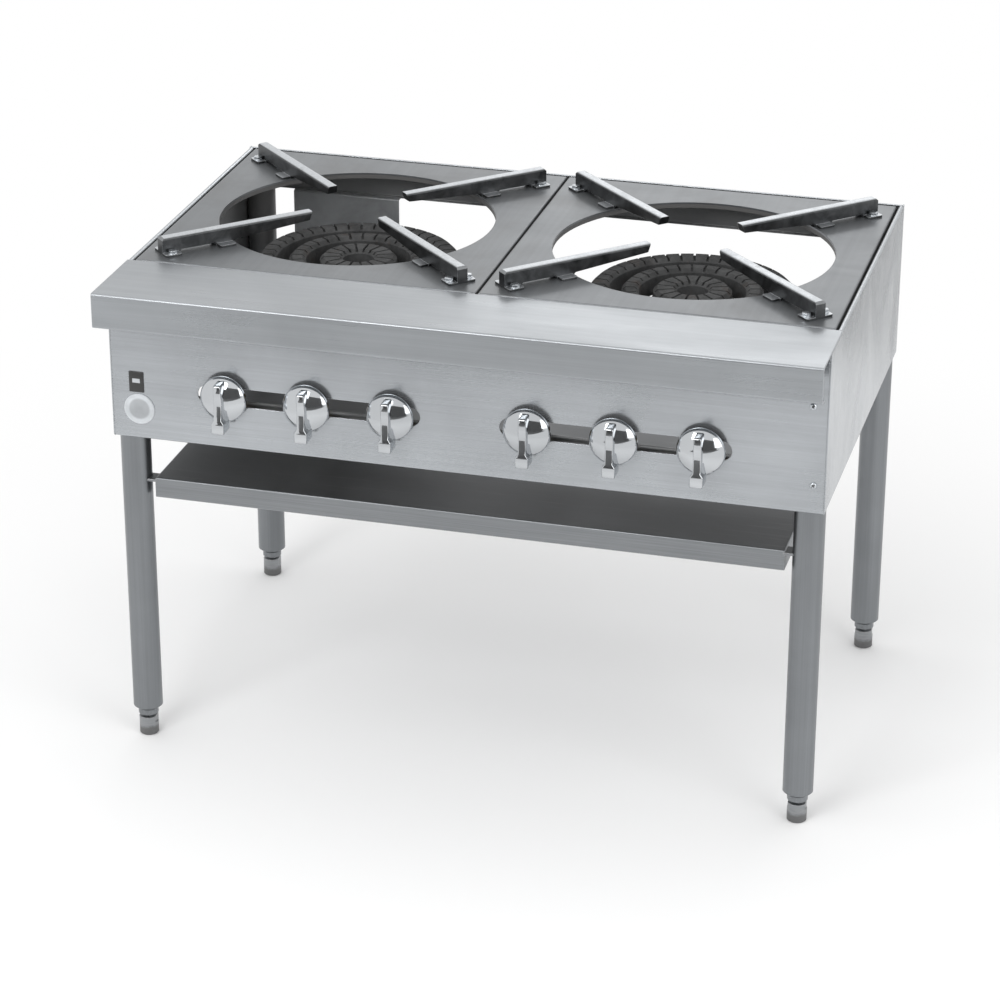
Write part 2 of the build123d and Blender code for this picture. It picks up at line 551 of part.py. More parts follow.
def knob_dome():
    """Round skirt under a spherical crown, with a rounded shoulder between them."""
    top = KNOB_RIM + KNOB_DOME
    ball_radius = (KNOB_RADIUS ** 2 + KNOB_DOME ** 2) / (2 * KNOB_DOME)
    skirt = rod((0, 0, 0), (0, 0, top), KNOB_RADIUS)
    shape = skirt & (Pos(0, 0, top - ball_radius) * Sphere(ball_radius))
    rims = ShapeList(edge for edge in shape.edges() if edge.is_closed)
    return fillet(rims.sort_by(Axis.Z)[-1], KNOB_SHOULDER)


def knob(number):
    """Domed skirt with a lever across it; the lever's square tip hangs past the rim."""
    hollow_top = KNOB_RIM + KNOB_DOME - KNOB_WALL
    hollow_radius = KNOB_RADIUS - KNOB_WALL
    hollow = rod((0, 0, -CUT), (0, 0, KNOB_RIM), hollow_radius)
    hollow += cone((0, 0, KNOB_RIM), (0, 0, hollow_top), hollow_radius, KNOB_BOSS_RADIUS / 2)
    tip = LEVER_TIP_WIDTH / 2
    neck = LEVER_WIDTH / 2
    shoulder = -LEVER_DOWN + LEVER_TIP_LENGTH
    right_edge = [(neck, LEVER_UP), (neck, shoulder + tip - neck), (tip, shoulder), (tip, -LEVER_DOWN)]
    left_edge = [(-x, y) for x, y in reversed(right_edge)]
    outline = make_face(Polyline(*right_edge, *left_edge, close=True))
    lever = Pos(0, 0, KNOB_RIM) * extrude(outline, amount=KNOB_DOME + LEVER_RISE)
    lever = fillet(lever.faces().sort_by(Axis.Z)[-1].edges(), LEVER_ROUND)
    boss = rod((0, 0, 0), (0, 0, hollow_top + KNOB_WALL / 2), KNOB_BOSS_RADIUS)
    bore = rod((0, 0, -CUT), (0, 0, hollow_top), SPINDLE_RADIUS + SPINDLE_CLEARANCE)
    shape = knob_dome() + lever - hollow + boss - bore
    place = Plane(origin=(tap_x(number), KNOB_BACK_Y, TAP_Z), x_dir=(1, 0, 0), z_dir=(0, -1, 0))
    return place * shape


# ---- Gas pipes ------------------------------------------------------------------
def gas_rail():
    """Pipe behind the slots: a boss under each tap, a cap on its right end, brackets to the control panel."""
    left = tap_x(1) - RAIL_END
    right = tap_x(2 * TAP_COUNT) + RAIL_END
    shape = rod((left, TAP_Y, RAIL_Z), (right, TAP_Y, RAIL_Z), RAIL_RADIUS)
    for number in range(1, 2 * TAP_COUNT + 1):
        x = tap_x(number)
        shape += rod((x, TAP_Y, RAIL_Z), (x, TAP_Y, RAIL_TOP), RAIL_BOSS_RADIUS)
    cap_end = right + RAIL_CAP_LENGTH
    shape += rod((right, TAP_Y, RAIL_Z), (cap_end, TAP_Y, RAIL_Z), RAIL_RADIUS + RAIL_WALL)
    panel_back = PANEL_FACE + SHEET
    half = RAIL_BRACKET_WIDTH / 2
    for x in (left + half, 0, right - half):
        strip = RAIL_BRACKET_SHEET / 2
        foot_z = RAIL_BRACKET_FOOT / 2
        shape += block(x - half, x + half, panel_back, TAP_Y, RAIL_Z - strip, RAIL_Z + strip)
        shape += block(x - half, x + half, panel_back, panel_back + RAIL_BRACKET_SHEET,
                       RAIL_Z - foot_z, RAIL_Z + foot_z)
    shape -= rod((left - CUT, TAP_Y, RAIL_Z), (right, TAP_Y, RAIL_Z), RAIL_RADIUS - RAIL_WALL)
    return shape


def bent_pipe(route):
    """Hollow pipe along a route at the rail's height."""
    path = FilletPolyline(*route, radius=PIPE_BEND)
    direction = Vector(*route[1]) - Vector(*route[0])
    start = Plane(origin=route[0], z_dir=direction)
    wall = start * (Circle(RAIL_RADIUS) - Circle(RAIL_RADIUS - RAIL_WALL))
    return sweep(wall, path=path)


def supply_pipe():
    """Pipe from the governor forward along the left side and round to the rail."""
    x = -HALF_WIDTH + PIPE_SIDE
    return bent_pipe([(tap_x(1) - RAIL_END, TAP_Y, RAIL_Z), (x, TAP_Y, RAIL_Z), (x, GOVERNOR_Y, RAIL_Z),
                      (GOVERNOR_X - GOVERNOR_LENGTH / 2, GOVERNOR_Y, RAIL_Z)])


def gas_inlet():
    """Elbow from the governor to the rear, with a threaded end for the supply."""
    end_y = REAR - INLET_REAR
    thread_y = end_y - INLET_THREAD_LENGTH
    pipe = bent_pipe([(GOVERNOR_X + GOVERNOR_LENGTH / 2, GOVERNOR_Y, RAIL_Z), (INLET_X, GOVERNOR_Y, RAIL_Z),
                      (INLET_X, thread_y, RAIL_Z)])
    thread = rod((INLET_X, thread_y, RAIL_Z), (INLET_X, end_y, RAIL_Z), INLET_THREAD_RADIUS)
    bore = rod((INLET_X, thread_y, RAIL_Z), (INLET_X, end_y, RAIL_Z), RAIL_RADIUS - RAIL_WALL)
    return pipe + (thread - bore)


def gas_governor():
    """Pressure governor: body along X, round diaphragm dish and spring bonnet on top."""
    half = GOVERNOR_LENGTH / 2
    body = rod((GOVERNOR_X - half, GOVERNOR_Y, RAIL_Z), (GOVERNOR_X + half, GOVERNOR_Y, RAIL_Z),
               GOVERNOR_BODY_RADIUS)
    dish_low = RAIL_Z + GOVERNOR_BODY_RADIUS / 2
    dish_top = dish_low + GOVERNOR_DISH_HEIGHT
    rim_low = dish_low + (GOVERNOR_DISH_HEIGHT - GOVERNOR_RIM) / 2
    rim_high = rim_low + GOVERNOR_RIM
    shell = GOVERNOR_DISH_RADIUS - GOVERNOR_RIM
    bonnet_top = dish_top + GOVERNOR_BONNET_HEIGHT
    outline = Polyline((0, RAIL_Z), (GOVERNOR_BODY_RADIUS, RAIL_Z), (GOVERNOR_BODY_RADIUS, dish_low),
                       (shell, rim_low), (GOVERNOR_DISH_RADIUS, rim_low),
                       (GOVERNOR_DISH_RADIUS, rim_high), (shell, rim_high),
                       (GOVERNOR_BODY_RADIUS, dish_top), (GOVERNOR_BONNET_RADIUS, dish_top),
                       (GOVERNOR_BONNET_RADIUS, bonnet_top), (0, bonnet_top), close=True)
    return body + Pos(GOVERNOR_X, GOVERNOR_Y, 0) * revolve(Plane.XZ * make_face(outline), Axis.Z)


def governor_bracket():
    """Sheet that hangs from the apron behind the governor, with a shelf under the governor's body."""
    half = SHEET / 2
    web_y = GOVERNOR_Y + GOVERNOR_DISH_RADIUS + half
    top_z = HOB_HEIGHT - APRON_HEIGHT - half
    low_z = RAIL_Z - GOVERNOR_BODY_RADIUS - half
    outline = [(REAR - SHEET, top_z), (web_y, top_z), (web_y, low_z), (GOVERNOR_Y, low_z)]
    return Pos(GOVERNOR_X, 0, 0) * folded_across(outline, GOVERNOR_BRACKET_WIDTH / 2)


# ---- Write one file for each named piece -------------------------------------------
def save(name, *solids):
    """Write a piece, or a group of identical pieces, under its name."""
    shape = solids[0] if len(solids) == 1 else Compound(children=list(solids))
    export_step(shape, f"parts/{name}.step")


def main():
    os.makedirs("parts", exist_ok=True)
    save("front_ledge", front_ledge())
    save("control_panel", control_panel())
    save("rear_apron", rear_apron())
    save("centre_rail", centre_rail())
    save("burner_rail", burner_rail())
    save("undershelf", undershelf())
    for name, (side, y) in LEGS.items():
        save(f"leg_{name}", leg(side, y))
        save(f"foot_{name}", foot(side, y))
    for hand, side in (("left", LEFT), ("right", RIGHT)):
        save(f"side_panel_{hand}", side_panel(side))
        save(f"hob_plate_{hand}", hob_plate(side))
        for corner, angle in ARM_ANGLES.items():
            save(f"pan_arm_{hand}_{corner}", pan_arm(side, angle))
        save(f"arm_bolts_{hand}", *arm_bolts(side))
        for ring in RING_RADII:
            save(f"burner_ring_{hand}_{ring}", burner_ring(side, ring))
        save(f"burner_cradle_{hand}", burner_cradle(side))
    for number in range(1, 2 * TAP_COUNT + 1):
        save(f"gas_tap_{number}", gas_tap(number))
        save(f"tap_spindle_{number}", tap_spindle(number))
        save(f"knob_{number}", knob(number))
    save("injectors", *injectors())
    save("gas_rail", gas_rail())
    save("supply_pipe", supply_pipe())
    save("gas_inlet", gas_inlet())
    save("gas_governor", gas_governor())
    save("governor_bracket", governor_bracket())


main()
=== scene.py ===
import json
import math

import bmesh
import bpy
from mathutils import Matrix, Vector


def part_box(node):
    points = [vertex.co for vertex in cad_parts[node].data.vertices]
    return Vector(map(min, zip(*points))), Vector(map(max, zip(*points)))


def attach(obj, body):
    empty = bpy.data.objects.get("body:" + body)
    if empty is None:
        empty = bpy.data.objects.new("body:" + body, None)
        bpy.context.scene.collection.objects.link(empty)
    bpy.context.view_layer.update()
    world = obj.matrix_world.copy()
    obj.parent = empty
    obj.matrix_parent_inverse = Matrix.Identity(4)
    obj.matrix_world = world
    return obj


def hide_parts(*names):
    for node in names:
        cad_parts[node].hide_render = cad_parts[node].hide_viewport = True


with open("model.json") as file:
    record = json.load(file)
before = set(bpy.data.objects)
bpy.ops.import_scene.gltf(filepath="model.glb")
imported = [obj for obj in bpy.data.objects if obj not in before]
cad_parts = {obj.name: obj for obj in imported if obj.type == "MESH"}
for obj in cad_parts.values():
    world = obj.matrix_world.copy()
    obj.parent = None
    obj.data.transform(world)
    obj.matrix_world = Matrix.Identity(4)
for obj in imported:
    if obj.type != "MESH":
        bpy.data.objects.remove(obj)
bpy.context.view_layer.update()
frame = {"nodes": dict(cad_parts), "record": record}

# Looks of the stock pot range, in metres, in the part's own frame: origin on the floor under the
# middle of the body, the front faces -Y.
NODES = frame["nodes"]

# ---- Places that the looks share with the solids -----------------------------------------
TAP_X = (-0.300, -0.193, -0.086, 0.086, 0.193, 0.300)
TAP_Z = 0.497
PANEL_FACE = -0.243         # front of the control panel
KNOB_BACK = -0.250
KNOB_RADIUS = 0.030
KNOB_RIM = 0.003            # height of the skirt
KNOB_DOME = 0.012           # rise of the crown over the skirt
KNOB_SHOULDER = 0.006       # round between skirt and crown
HOB_Z = 0.636
PLATE_SHEET = 0.002
HOLE = (0.22125, 0.0555)    # middle of a hob plate's hole: to the side, and behind the body's middle
ARM_OUTER = 0.27777         # outer end of a pan arm, from the middle of the hole
ARM_WALL = 0.003
ARM_TAB = 0.022             # length of an arm's outer feet, along the arm
BOLT_ACROSS = 0.013         # from the arm's centre line to each of its bolts
RAIL_Z = 0.46505
PIPE_RADIUS = 0.01345
INSIDE_X = 0.4492           # planes in the thickness of the body's sheets
INSIDE_FRONT = -0.2422
INSIDE_REAR = 0.2942
INSIDE_TOP = 0.6335
INSIDE_LOW = 0.4285         # painted shade inside the body fades in between these heights
INSIDE_DEEP = 0.54
DISC_X = -0.414             # round plate on the panel
DISC_Z = 0.468
DISC_BORDER = (0.0122, 0.0148)    # its border pales between these distances from its middle


# ---- Node materials ----------------------------------------------------------------------
class Nodes:
    """Short calls that add nodes to a tree."""

    def __init__(self, tree):
        self.tree = tree

    def node(self, kind, values=(), **settings):
        """Adds a node. Each of its values is a constant or another node's output."""
        made = self.tree.nodes.new(kind)
        for key, value in settings.items():
            setattr(made, key, value)
        for key, value in dict(values).items():
            if isinstance(value, bpy.types.NodeSocket):
                self.tree.links.new(value, made.inputs[key])
            else:
                made.inputs[key].default_value = value
        return made

    def spread(self, value, low, high, to_low=0.0, to_high=1.0, **settings):
        """Maps the range from low to high onto the other one, and holds what lies outside it."""
        values = {"Value": value, "From Min": low, "From Max": high,
                  "To Min": to_low, "To Max": to_high}
        return self.node("ShaderNodeMapRange", values, **settings).outputs[0]

    def maths(self, operation, first, second=0.0, clamp=False):
        values = {0: first, 1: second}
        return self.node("ShaderNodeMath", values, operation=operation, use_clamp=clamp).outputs[0]

    def times(self, first, second, clamp=False):
        return self.maths("MULTIPLY", first, second, clamp)

    def plus(self, first, second):
        return self.maths("ADD", first, second)

    def vector(self, operation, values):
        """Vector maths: a number where the operation gives one, else a vector."""
        outputs = self.node("ShaderNodeVectorMath", values, operation=operation).outputs
        return outputs["Vector" if operation == "SCALE" else "Value"]

    def mix(self, factor, first, second):
        return self.node("ShaderNodeMix", {0: factor, 6: first, 7: second}, data_type="RGBA").outputs[2]

    def background_rays(self):
        """1 for rays that see the background: from the camera, off metal, and through glass."""
        path = self.node("ShaderNodeLightPath").outputs
        either = self.maths("MAXIMUM", path["Is Camera Ray"], path["Is Glossy Ray"])
        return self.maths("MAXIMUM", either, path["Is Transmission Ray"])


class Material(Nodes):
    """A principled material, with the noises and masks that the looks share."""

    def __init__(self, name, **sockets):
        self.made = bpy.data.materials.new(name)
        self.made.use_nodes = True
        super().__init__(self.made.node_tree)
        self.shader = self.tree.nodes["Principled BSDF"]
        for socket, value in sockets.items():
            self.shader.inputs[socket.replace("_", " ")].default_value = value
        self.place = self.node("ShaderNodeTexCoord").outputs["Object"]

    def link(self, output, socket):
        self.tree.links.new(output, self.shader.inputs[socket])

    def noise(self, scale, detail=3.0, stretch=(1, 1, 1), rough=0.55, distortion=0.0):
        mapped = self.node("ShaderNodeMapping", {"Vector": self.place, "Scale": stretch})
        values = {"Vector": mapped.outputs[0], "Scale": scale, "Detail": detail,
                  "Roughness": rough, "Distortion": distortion}
        return self.node("ShaderNodeTexNoise", values).outputs["Fac"]

    def scaled(self, colour, factor):
        return self.vector("SCALE", {0: colour, "Scale": factor})

    def normal(self):
        return self.node("ShaderNodeNewGeometry").outputs["Normal"]

    def parts(self, vector):
        return self.node("ShaderNodeSeparateXYZ", {0: vector}).outputs

    def edges(self, radius, flat=0.995, sharp=0.80):
        """Rounded normal for sharp edges, and a mask of those edges."""
        bevel = self.node("ShaderNodeBevel", {"Radius": radius}, samples=6).outputs[0]
        close = self.vector("DOT_PRODUCT", {0: bevel, 1: self.normal()})
        return bevel, self.spread(close, flat, sharp)

    def facing(self, axis, low, high):
        """From 0 to 1 as a face turns towards the axis."""
        return self.spread(self.parts(self.normal())[axis], low, high)

    def inside(self):
        """Up to 1 on what lies inside the body, fading out towards its open bottom: the mask of the
        painted shade inside.
        """
        spot = self.parts(self.place)
        across = self.maths("LESS_THAN", self.maths("ABSOLUTE", spot["X"]), INSIDE_X)
        front = self.maths("GREATER_THAN", spot["Y"], INSIDE_FRONT)
        rear = self.maths("LESS_THAN", spot["Y"], INSIDE_REAR)
        low = self.maths("LESS_THAN", spot["Z"], INSIDE_TOP)
        deep = self.times(self.times(front, rear), self.times(across, low))
        return self.times(deep, self.spread(spot["Z"], INSIDE_LOW, INSIDE_DEEP))

    def bump(self, height, strength, distance, normal=None):
        """Roughens the shader's normal, or the rounded one that is given."""
        values = {"Height": height, "Strength": strength, "Distance": distance}
        if normal is not None:
            values["Normal"] = normal
        self.link(self.node("ShaderNodeBump", values).outputs[0], "Normal")


def grey(value, warm=0.0):
    """A near-neutral colour; warm shifts it from cool grey to warm grey."""
    return (value * (1 + warm), value, value * (1 - warm), 1.0)


def brushed(name, tone, grain, roughness=0.34, cloud=0.07, streak=0.06, bevel=0.0011, stain=0.0,
            warm=-0.045, inner_shade=0.0, metallic=1.0):
    """Satin sheet steel: fine grain, faint clouds and wiping marks, bright edges that are partly wear
    and partly painted highlight. Stain is the share of heat tint, and a further share sets painted
    shade inside the body."""
    m = Material(name, Metallic=metallic)
    fine = m.noise(1.0, 3.0, grain, rough=0.7)
    coarse = m.noise(0.22, 2.0, grain, rough=0.5)
    clouds = m.noise(5.5, 4.0, rough=0.6, distortion=0.4)
    wipes = m.noise(2.2, 5.0, (1.0, 2.6, 1.6), rough=0.62, distortion=1.2)
    broad = streak * 0.6
    level = m.spread(fine, 0.25, 0.75, 1 - streak, 1 + streak)
    level = m.times(level, m.spread(coarse, 0.3, 0.7, 1 - broad, 1 + broad))
    level = m.times(level, m.spread(clouds, 0.3, 0.7, 1 - cloud, 1 + cloud))
    colour = m.scaled(grey(tone, warm)[:3], level)
    if stain:
        heat = m.noise(7.0, 5.0, rough=0.7, distortion=0.8)
        colour = m.mix(m.spread(heat, 0.48, 0.72, 0.0, stain), colour, grey(tone * 0.62, 0.03))
    normal, edge = m.edges(bevel)
    # Painted highlight, with some wear: the edges are mixed towards a paler grey.
    colour = m.mix(m.times(edge, 0.55), colour, grey(min(tone * 1.5, 0.9), warm))
    rough = m.spread(wipes, 0.3, 0.7, roughness - 0.05, roughness + 0.07)
    rough = m.plus(rough, m.spread(fine, 0.2, 0.8, -0.04, 0.04))
    # Painted shade: what lies inside the body is darkened towards a dark grey, fading out towards its
    # open bottom.
    if inner_shade:
        sooty = m.times(m.inside(), m.spread(clouds, 0.25, 0.55, inner_shade * 0.85, inner_shade))
        colour = m.mix(sooty, colour, grey(0.14, 0.02))
        rough = m.plus(rough, m.times(sooty, 0.22))
        m.link(m.spread(sooty, 0.0, 1.0, metallic, 0.3), "Metallic")
    m.link(colour, "Base Color")
    m.link(rough, "Roughness")
    m.bump(fine, strength=0.10, distance=0.0004, normal=normal)
    return m.made


def arm_steel():
    """Pan arm: sides painted dark as shade, a top painted light where light falls on it, and painted
    highlights along the edges.
    """
    m = Material("arm_steel", Metallic=1.0)
    speck = m.noise(420.0, 3.0, rough=0.7)
    patch = m.noise(38.0, 4.0, rough=0.65, distortion=0.6)
    # Painted shade: the dark colour of the sides.
    side = m.mix(m.spread(patch, 0.35, 0.65), grey(0.065, -0.03), grey(0.125, -0.03))
    # Painted light: the pale colour of the top.
    lit_top = m.mix(m.spread(speck, 0.3, 0.7), grey(0.50, -0.035), grey(0.66, -0.035))
    # Faces that turn up take the painted light; the edges add a painted highlight.
    top = m.times(m.facing("Z", 0.6, 0.9), m.spread(patch, 0.25, 0.42, 0.55, 1.0), clamp=True)
    normal, edge = m.edges(0.0010)
    m.link(m.mix(m.maths("MAXIMUM", top, m.times(edge, 0.5)), side, lit_top), "Base Color")
    m.link(m.spread(patch, 0.3, 0.7, 0.30, 0.48), "Roughness")
    m.bump(speck, strength=0.22, distance=0.0004, normal=normal)
    return m.made


def cast_iron():
    """Rough grey iron casting, sooty, with rust in the pores."""
    m = Material("burner_iron", Metallic=0.25, Specular_IOR_Level=0.35)
    grains = m.noise(260.0, 5.0, rough=0.75)
    lumps = m.noise(45.0, 4.0, rough=0.6)
    rust = m.noise(26.0, 6.0, rough=0.7, distortion=0.7)
    base = m.mix(m.spread(lumps, 0.3, 0.7), grey(0.042, -0.01), grey(0.088, -0.01))
    base = m.mix(m.spread(rust, 0.56, 0.72, 0.0, 0.35), base, (0.085, 0.048, 0.030, 1.0))
    normal, edge = m.edges(0.0012)
    # Painted highlight: the edges are mixed towards a paler grey.
    m.link(m.mix(m.times(edge, 0.25), base, grey(0.11)), "Base Color")
    m.link(m.spread(grains, 0.3, 0.7, 0.62, 0.86), "Roughness")
    m.bump(m.plus(grains, m.times(lumps, 2.0)), strength=0.55, distance=0.0009, normal=normal)
    return m.made


def painted(name, tone, warm=0.0, wear=0.3, metallic=0.0):
    """Hammered or plain paint on metal, chipped along the edges, with dust on what faces up."""
    m = Material(name, Metallic=metallic)
    peel = m.noise(330.0, 3.0)
    dirt = m.noise(17.0, 5.0, rough=0.68, distortion=0.5)
    flakes = m.noise(120.0, 4.0, rough=0.7)
    base = m.mix(m.spread(dirt, 0.3, 0.7), grey(tone * 0.72, warm), grey(tone * 1.15, warm))
    dust = m.times(m.facing("Z", 0.3, 1.0), m.spread(dirt, 0.4, 0.7, 0.0, 0.35), clamp=True)
    base = m.mix(dust, base, grey(0.26, 0.05))
    normal, edge = m.edges(0.0012)
    chips = m.times(edge, m.spread(flakes, 0.42, 0.60, 0.0, wear), clamp=True)
    m.link(m.mix(chips, base, grey(0.42)), "Base Color")
    m.link(m.spread(dirt, 0.3, 0.7, 0.38, 0.62), "Roughness")
    m.bump(peel, strength=0.20, distance=0.0005, normal=normal)
    return m.made


def brass():
    """Turned brass, tarnished in patches and bright along the edges."""
    m = Material("tap_brass", Metallic=1.0)
    tooling = m.noise(900.0, 2.0, (0.15, 1.0, 0.15))
    tarnish = m.noise(34.0, 5.0, rough=0.68, distortion=0.5)
    bright, dull, rubbed = (0.60, 0.46, 0.23, 1.0), (0.25, 0.17, 0.085, 1.0), (0.80, 0.66, 0.38, 1.0)
    shade = m.mix(m.spread(tarnish, 0.36, 0.66), bright, dull)
    normal, edge = m.edges(0.0006)
    m.link(m.mix(m.times(edge, 0.5), shade, rubbed), "Base Color")
    m.link(m.spread(tarnish, 0.3, 0.7, 0.24, 0.48), "Roughness")
    m.bump(tooling, strength=0.12, distance=0.0003, normal=normal)
    return m.made


def chrome():
    """Bright chrome: mirror-like, with faint finger marks, and a back painted dark as shade."""
    m = Material("knob_chrome", Metallic=1.0)
    smear = m.noise(55.0, 5.0, (1.0, 1.0, 1.6), rough=0.65, distortion=1.0)
    haze = m.noise(7.0, 3.0)
    pits = m.noise(1500.0, 2.0)
    shade = m.mix(m.spread(haze, 0.3, 0.7), grey(0.50, -0.035), grey(0.59, -0.03))
    # Painted shade: faces that turn back towards the panel are near black and dull.
    rear = m.facing("Y", 0.25, 0.45)
    m.link(m.mix(rear, shade, grey(0.035)), "Base Color")
    m.link(m.plus(m.spread(smear, 0.42, 0.75, 0.055, 0.17), m.times(rear, 0.5)), "Roughness")
    m.bump(pits, strength=0.03, distance=0.0002)
    return m.made


def foot_steel():
    """Turned steel foot, darker towards the floor, with scuffs in its roughness and painted highlights
    along its edges.
    """
    m = Material("foot_steel", Metallic=1.0)
    tooling = m.noise(1.0, 2.0, (60.0, 60.0, 2600.0), rough=0.6)
    scuff = m.noise(120.0, 5.0, rough=0.7)
    height = m.plus(m.parts(m.place)["Z"], m.spread(scuff, 0.3, 0.7, -0.002, 0.002))
    low = m.spread(height, 0.010, 0.0145, 1.0, 0.0)
    shade = m.mix(m.spread(tooling, 0.3, 0.7), grey(0.28, -0.03), grey(0.38, -0.03))
    # Darker towards the floor, below a height of 10 to 14.5 mm, along an uneven line.
    shade = m.mix(m.times(low, 0.75), shade, grey(0.13, 0.02))
    normal, edge = m.edges(0.0006)
    # Painted highlight: the edges are mixed towards a pale grey.
    m.link(m.mix(m.times(edge, 0.5), shade, grey(0.72)), "Base Color")
    m.link(m.spread(scuff, 0.3, 0.7, 0.28, 0.44), "Roughness")
    m.bump(tooling, strength=0.25, distance=0.0003, normal=normal)
    return m.made


def shelf_sheet():
    """Undershelf: upper side painted dark as the shade under the body, satin edge with painted
    highlights along it.
    """
    m = Material("shelf_sheet", Metallic=1.0)
    grain = m.noise(1.0, 3.0, (6.0, 700.0, 700.0), rough=0.7)
    clouds = m.noise(6.0, 5.0, rough=0.62, distortion=0.6)
    scratch = m.noise(1.0, 2.0, (9.0, 260.0, 260.0), rough=0.5, distortion=0.35)
    rim = m.mix(m.spread(grain, 0.3, 0.7), grey(0.26, -0.04), grey(0.32, -0.04))
    # Painted shade: the darker colour of the upper side, which lies under the body.
    top = m.mix(m.spread(clouds, 0.3, 0.7), grey(0.135, -0.03), grey(0.205, -0.03))
    top = m.mix(m.spread(scratch, 0.60, 0.74, 0.0, 0.35), top, grey(0.24))
    # Faces that turn up take the painted shade.
    shade = m.mix(m.facing("Z", 0.75, 0.95), rim, top)
    normal, edge = m.edges(0.0014)
    # Painted highlight: the edges are mixed towards a pale grey.
    m.link(m.mix(m.times(edge, 0.6), shade, grey(0.66)), "Base Color")
    m.link(m.spread(clouds, 0.3, 0.7, 0.40, 0.55), "Roughness")
    m.bump(grain, strength=0.12, distance=0.0004, normal=normal)
    return m.made


def pale_plate(name, middle=None):
    """Bare pale plate with a fine satin face. A round one has a paler border round its middle."""
    m = Material(name, Metallic=0.35, Roughness=0.42)
    fine = m.noise(700.0, 2.0)
    smudge = m.noise(60.0, 4.0, distortion=0.6)
    colour = m.mix(m.spread(smudge, 0.3, 0.7), grey(0.44, -0.04), grey(0.54, -0.04))
    if middle is not None:
        reach = m.vector("DISTANCE", {0: m.place, 1: middle})
        darker, paler = m.scaled(colour, 0.80), m.scaled(colour, 1.22)
        colour = m.mix(m.spread(reach, *DISC_BORDER), darker, paler)
    m.link(colour, "Base Color")
    m.bump(fine, strength=0.1, distance=0.0002)
    return m.made


# A sheet's grain is its noise scale along x, y and z. It runs along the axis with the small one.
# The body, hob, leg and ledge sheets take painted shade inside the body.
LOOKS = {
    "body_sheet": brushed("body_sheet", 0.44, (5.0, 620.0, 620.0), roughness=0.24, inner_shade=0.75,
                          metallic=0.8),
    "hob_sheet": brushed("hob_sheet", 0.225, (620.0, 5.0, 620.0), roughness=0.38, cloud=0.09,
                         streak=0.07, stain=0.35, inner_shade=0.88, metallic=0.8),
    "shelf_sheet": shelf_sheet(),
    "arm_steel": arm_steel(),
    "bolt_steel": brushed("bolt_steel", 0.62, (900.0, 900.0, 120.0), roughness=0.26, cloud=0.05,
                          streak=0.05, bevel=0.0005),
    "leg_tube": brushed("leg_tube", 0.25, (520.0, 520.0, 5.0), cloud=0.06, streak=0.07, inner_shade=0.88),
    "foot_steel": foot_steel(),
    "burner_iron": cast_iron(),
    "bracket_steel": painted("bracket_steel", 0.10, warm=0.02, wear=0.5, metallic=0.4),
    "tap_brass": brass(),
    "knob_chrome": chrome(),
    "pipe_steel": brushed("pipe_steel", 0.42, (6.0, 500.0, 500.0), roughness=0.40, cloud=0.12,
                          streak=0.05, stain=0.5, warm=-0.02),
    "governor_casting": painted("governor_casting", 0.11, warm=-0.03, wear=0.6),
}
PALE_PLATE = pale_plate("pale_plate")
PALE_DISC = pale_plate("pale_disc", (DISC_X, PANEL_FACE, DISC_Z))
DARK_PLATE = painted("dark_plate", 0.035)
SOOTED_SHEET = painted("sooted_sheet", 0.38, warm=-0.03, wear=0.1, metallic=0.5)
# Painted light: a copy of the body sheet with its own tone for the light on the ledge, and a wider
# painted highlight along its fold.
LEDGE_TONED_FOR_LIGHT = brushed("ledge_sheet_toned_for_light", 0.385, (5.0, 620.0, 620.0), roughness=0.32, bevel=0.0019, inner_shade=0.75,
                metallic=0.8)


def dress(node, look):
    """Gives a node's solid a material."""
    for held in NODES[node].material_slots:
        held.material = look


for part in frame["record"]["subparts"]:
    dress(part["node"], LOOKS[part["material_slot"]])
dress("front_ledge", LEDGE_TONED_FOR_LIGHT)
dress("governor_bracket", SOOTED_SHEET)


# ---- Building pieces ---------------------------------------------------------------------
ON_AXIS = 1e-7              # a radius below this is a single point


def put(name, data):
    """Adds an object with this data to the scene."""
    made = bpy.data.objects.new(name, data)
    bpy.context.scene.collection.objects.link(made)
    return made


def piece(name, bm, body, slot, look=None, smooth=35.0):
    """Makes a mesh of it that rides on a body, in the given look or else in the look of one of the
    record's slots.
    """
    mesh = bpy.data.meshes.new(name)
    bmesh.ops.recalc_face_normals(bm, faces=bm.faces)
    bm.to_mesh(mesh)
    bm.free()
    made = put(name, mesh)
    mesh.materials.append(look or LOOKS[slot])
    mesh.shade_smooth()
    mesh.set_sharp_from_angle(angle=math.radians(smooth))
    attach(made, body)
    return made


def turn_z(degrees):
    return Matrix.Rotation(math.radians(degrees), 4, "Z")


def facing_front(x, y, z):
    """Placing matrix: local x to the right, local y up, local z towards the cook."""
    return Matrix.Translation((x, y, z)) @ Matrix.Rotation(math.radians(90), 4, "X")


def round_steps(count):
    """The angles of a full turn in equal steps."""
    return [2 * math.pi * i / count for i in range(count)]


def polar(radius, angle, height):
    return Vector((radius * math.cos(angle), radius * math.sin(angle), height))


def rectangle(half, low, high):
    """Outline of a rectangle centred on x = 0."""
    return [(-half, low), (half, low), (half, high), (-half, high)]


def turned(bm, outline, at, segments):
    """Adds a turned form: (radius, height) points round local z, placed by a matrix."""
    rings = []
    for radius, height in outline:
        if radius < ON_AXIS:
            spots = [Vector((0, 0, height))]
        else:
            spots = [polar(radius, a, height) for a in round_steps(segments)]
        rings.append([bm.verts.new(at @ spot) for spot in spots])
    for one, two in zip(rings, rings[1:]):
        for i in range(segments):
            j = (i + 1) % segments
            corners = [one[i % len(one)], one[j % len(one)], two[j % len(two)], two[i % len(two)]]
            bm.faces.new([corner for k, corner in enumerate(corners) if corner not in corners[:k]])


